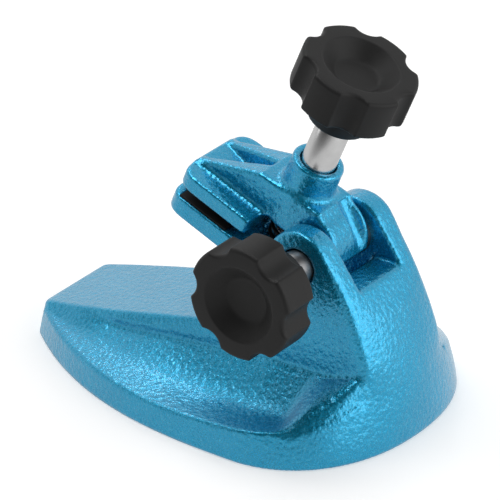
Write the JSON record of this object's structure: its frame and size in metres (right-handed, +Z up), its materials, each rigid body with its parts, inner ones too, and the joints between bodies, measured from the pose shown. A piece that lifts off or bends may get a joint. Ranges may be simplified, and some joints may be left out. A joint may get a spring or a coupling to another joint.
{
  "type": "micrometer stand",
  "caption": "Heavy cast stand with a sloping tongue and a forked post that holds a tilting clamp head; one star knob closes the jaws on a micrometer's frame and the other locks the tilt.",
  "frame": {"origin": "on the table under the pivot axis, in the middle of the stand's width", "axes": "+Z up; +X along the pivot axis towards the side knob; -Y towards the tip of the tongue"},
  "size_m": [0.1067, 0.1484, 0.1358],
  "materials": {
    "blue_paint": "blue metallic hammered paint on cast iron",
    "black_plastic": "moulded black plastic, matt",
    "bright_steel": "turned bright steel",
    "grey_steel": "plain grey steel",
    "black_steel": "blackened spring steel",
    "black_rubber": "smooth black rubber"
  },
  "bodies": {
    "stand": {"base_casting": "blue_paint", "pivot_friction_washer": "grey_steel"},
    "clamp_head": {"upper_jaw": "blue_paint", "upper_jaw_pad": "black_rubber", "clamp_washer": "bright_steel", "jaw_spring": "black_steel"},
    "moving_jaw": {"lower_jaw": "blue_paint", "lower_jaw_pad": "black_rubber", "jaw_guide_pin": "bright_steel"},
    "clamp_handle": {"clamp_screw": "bright_steel", "clamp_knob": "black_plastic", "clamp_clip": "grey_steel"},
    "thrust_washer": {"pivot_thrust_washer": "bright_steel"},
    "tilt_handle": {"pivot_screw": "grey_steel", "pivot_knob": "black_plastic"}
  },
  "joints": [
    {"name": "head_tilt", "type": "hinge", "parent": "stand", "child": "clamp_head", "pos_m": [0, 0, 0.0595], "axis": [-1, 0, 0], "range_deg": [-17, 60]},
    {"name": "clamp_turn", "type": "hinge", "parent": "clamp_head", "child": "clamp_handle", "pos_m": [0, -0.01531, 0.06591], "axis": [0, 0.3859, 0.9225], "range_deg": [-951, 1585]},
    {"name": "jaw_slide", "type": "slide", "parent": "clamp_head", "child": "moving_jaw", "axis": [0, -0.3859, -0.9225], "range_m": [-0.0033, 0.0055], "deforming": ["jaw_spring"]},
    {"name": "pivot_travel", "type": "slide", "parent": "stand", "child": "thrust_washer", "axis": [1, 0, 0], "range_m": [0, 0.0025]},
    {"name": "pivot_turn", "type": "hinge", "parent": "thrust_washer", "child": "tilt_handle", "pos_m": [0, 0, 0.0595], "axis": [1, 0, 0], "range_deg": [0, 720.1]}
  ],
  "couplings": [
    {"joint": "clamp_turn", "follows": "jaw_slide", "rad_per_m": 5026.5},
    {"joint": "pivot_turn", "follows": "pivot_travel", "rad_per_m": 5026.5}
  ]
}
